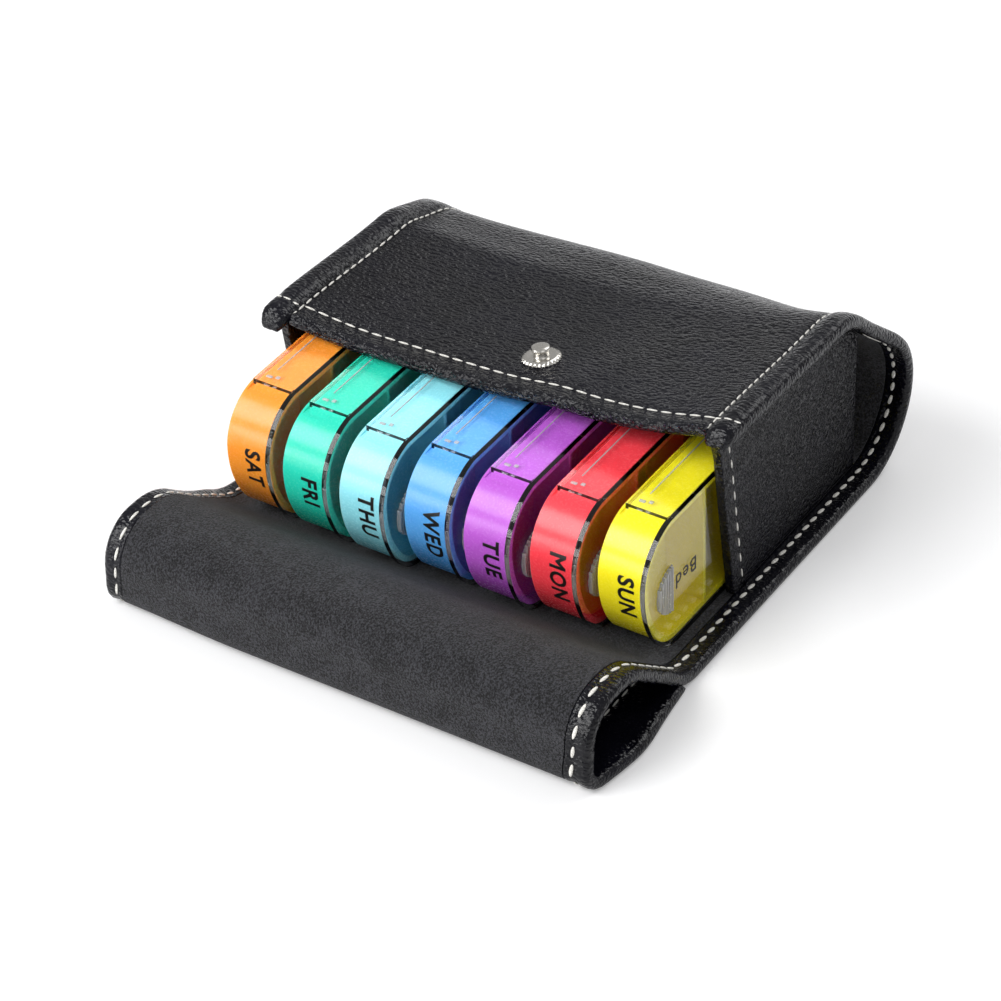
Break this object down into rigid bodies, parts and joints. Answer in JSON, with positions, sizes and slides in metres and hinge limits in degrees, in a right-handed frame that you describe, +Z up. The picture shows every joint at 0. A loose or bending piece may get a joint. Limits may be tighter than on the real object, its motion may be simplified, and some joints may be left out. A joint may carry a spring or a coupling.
{
  "type": "weekly pill drawer organizer",
  "caption": "Wrap-around leather case, open at the front, holding a row of slim pill boxes on edge; each box pulls out and has a sliding clear cover over four rooms.",
  "frame": {"origin": "bottom centre of the bounding box, on the surface that the case rests on", "axes": "+X along the row of boxes, from the first box to the last as seen from the open front; +Y from the open front into the case; +Z up"},
  "size_m": [0.139, 0.163, 0.058],
  "materials": {
    "orange_plastic": "gloss",
    "teal_plastic": "gloss",
    "light_cyan_plastic": "gloss",
    "blue_plastic": "gloss",
    "purple_plastic": "gloss",
    "red_plastic": "gloss",
    "yellow_plastic": "gloss",
    "clear_plastic": "clear gloss",
    "black_leather": "pebbled gloss",
    "black_suede": "matt napped",
    "nickel": "polished"
  },
  "bodies": {
    "case": {"wrap_leather": "black_leather", "wrap_lining": "black_suede", "mouth_hem": "black_leather", "side_binding_left": "black_leather", "side_binding_right": "black_leather", "gusset_left": "black_leather", "gusset_right": "black_leather", "snap_stud": "nickel", "stud_eyelet": "nickel", "flap_root_leather": "black_leather", "flap_root_lining": "black_suede", "flap_root_binding_left": "black_leather", "flap_root_binding_right": "black_leather"},
    "flap": {"flap_leather": "black_leather", "flap_lining": "black_suede", "flap_binding_left": "black_leather", "flap_binding_right": "black_leather", "flap_end_hem": "black_leather", "snap_socket": "nickel", "snap_cap": "nickel"},
    "box_sat": {"tray_sat": "orange_plastic"},
    "lid_sat": {"cover_sat": "clear_plastic"},
    "box_fri": {"tray_fri": "teal_plastic"},
    "lid_fri": {"cover_fri": "clear_plastic"},
    "box_thu": {"tray_thu": "light_cyan_plastic"},
    "lid_thu": {"cover_thu": "clear_plastic"},
    "box_wed": {"tray_wed": "blue_plastic"},
    "lid_wed": {"cover_wed": "clear_plastic"},
    "box_tue": {"tray_tue": "purple_plastic"},
    "lid_tue": {"cover_tue": "clear_plastic"},
    "box_mon": {"tray_mon": "red_plastic"},
    "lid_mon": {"cover_mon": "clear_plastic"},
    "box_sun": {"tray_sun": "yellow_plastic"},
    "lid_sun": {"cover_sun": "clear_plastic"}
  },
  "joints": [
    {"name": "box_slide_sat", "type": "slide", "parent": "case", "child": "box_sat", "axis": [0, -1, 0], "range_m": [0, 0.095], "deforming": ["flap_root_leather", "flap_root_lining", "flap_root_binding_left", "flap_root_binding_right", "flap_leather", "flap_lining", "flap_binding_left", "flap_binding_right", "flap_end_hem", "snap_socket", "snap_cap"]},
    {"name": "lid_slide_sat", "type": "slide", "parent": "box_sat", "child": "lid_sat", "axis": [0, -1, 0], "range_m": [0, 0.08], "deforming": ["flap_root_leather", "flap_root_lining", "flap_root_binding_left", "flap_root_binding_right", "flap_leather", "flap_lining", "flap_binding_left", "flap_binding_right", "flap_end_hem", "snap_socket", "snap_cap"]},
    {"name": "box_slide_fri", "type": "slide", "parent": "case", "child": "box_fri", "axis": [0, -1, 0], "range_m": [0, 0.095], "deforming": ["flap_root_leather", "flap_root_lining", "flap_root_binding_left", "flap_root_binding_right", "flap_leather", "flap_lining", "flap_binding_left", "flap_binding_right", "flap_end_hem", "snap_socket", "snap_cap"]},
    {"name": "lid_slide_fri", "type": "slide", "parent": "box_fri", "child": "lid_fri", "axis": [0, -1, 0], "range_m": [0, 0.08], "deforming": ["flap_root_leather", "flap_root_lining", "flap_root_binding_left", "flap_root_binding_right", "flap_leather", "flap_lining", "flap_binding_left", "flap_binding_right", "flap_end_hem", "snap_socket", "snap_cap"]},
    {"name": "box_slide_thu", "type": "slide", "parent": "case", "child": "box_thu", "axis": [0, -1, 0], "range_m": [0, 0.095], "deforming": ["flap_root_leather", "flap_root_lining", "flap_root_binding_left", "flap_root_binding_right", "flap_leather", "flap_lining", "flap_binding_left", "flap_binding_right", "flap_end_hem", "snap_socket", "snap_cap"]},
    {"name": "lid_slide_thu", "type": "slide", "parent": "box_thu", "child": "lid_thu", "axis": [0, -1, 0], "range_m": [0, 0.08], "deforming": ["flap_root_leather", "flap_root_lining", "flap_root_binding_left", "flap_root_binding_right", "flap_leather", "flap_lining", "flap_binding_left", "flap_binding_right", "flap_end_hem", "snap_socket", "snap_cap"]},
    {"name": "box_slide_wed", "type": "slide", "parent": "case", "child": "box_wed", "axis": [0, -1, 0], "range_m": [0, 0.095], "deforming": ["flap_root_leather", "flap_root_lining", "flap_root_binding_left", "flap_root_binding_right", "flap_leather", "flap_lining", "flap_binding_left", "flap_binding_right", "flap_end_hem", "snap_socket", "snap_cap"]},
    {"name": "lid_slide_wed", "type": "slide", "parent": "box_wed", "child": "lid_wed", "axis": [0, -1, 0], "range_m": [0, 0.08], "deforming": ["flap_root_leather", "flap_root_lining", "flap_root_binding_left", "flap_root_binding_right", "flap_leather", "flap_lining", "flap_binding_left", "flap_binding_right", "flap_end_hem", "snap_socket", "snap_cap"]},
    {"name": "box_slide_tue", "type": "slide", "parent": "case", "child": "box_tue", "axis": [0, -1, 0], "range_m": [0, 0.095], "deforming": ["flap_root_leather", "flap_root_lining", "flap_root_binding_left", "flap_root_binding_right", "flap_leather", "flap_lining", "flap_binding_left", "flap_binding_right", "flap_end_hem", "snap_socket", "snap_cap"]},
    {"name": "lid_slide_tue", "type": "slide", "parent": "box_tue", "child": "lid_tue", "axis": [0, -1, 0], "range_m": [0, 0.08], "deforming": ["flap_root_leather", "flap_root_lining", "flap_root_binding_left", "flap_root_binding_right", "flap_leather", "flap_lining", "flap_binding_left", "flap_binding_right", "flap_end_hem", "snap_socket", "snap_cap"]},
    {"name": "box_slide_mon", "type": "slide", "parent": "case", "child": "box_mon", "axis": [0, -1, 0], "range_m": [0, 0.095], "deforming": ["flap_root_leather", "flap_root_lining", "flap_root_binding_left", "flap_root_binding_right", "flap_leather", "flap_lining", "flap_binding_left", "flap_binding_right", "flap_end_hem", "snap_socket", "snap_cap"]},
    {"name": "lid_slide_mon", "type": "slide", "parent": "box_mon", "child": "lid_mon", "axis": [0, -1, 0], "range_m": [0, 0.08], "deforming": ["flap_root_leather", "flap_root_lining", "flap_root_binding_left", "flap_root_binding_right", "flap_leather", "flap_lining", "flap_binding_left", "flap_binding_right", "flap_end_hem", "snap_socket", "snap_cap"]},
    {"name": "box_slide_sun", "type": "slide", "parent": "case", "child": "box_sun", "axis": [0, -1, 0], "range_m": [0, 0.095], "deforming": ["flap_root_leather", "flap_root_lining", "flap_root_binding_left", "flap_root_binding_right", "flap_leather", "flap_lining", "flap_binding_left", "flap_binding_right", "flap_end_hem", "snap_socket", "snap_cap"]},
    {"name": "lid_slide_sun", "type": "slide", "parent": "box_sun", "child": "lid_sun", "axis": [0, -1, 0], "range_m": [0, 0.08], "deforming": ["flap_root_leather", "flap_root_lining", "flap_root_binding_left", "flap_root_binding_right", "flap_leather", "flap_lining", "flap_binding_left", "flap_binding_right", "flap_end_hem", "snap_socket", "snap_cap"]},
    {"name": "flap_hinge", "type": "hinge", "parent": "case", "child": "flap", "pos_m": [0, -0.0568, 0.017], "axis": [1, 0, 0], "range_deg": [-95, 0], "deforming": ["flap_root_leather", "flap_root_lining", "flap_root_binding_left", "flap_root_binding_right", "flap_leather", "flap_lining", "flap_binding_left", "flap_binding_right", "flap_end_hem", "snap_socket", "snap_cap"]}
  ]
}
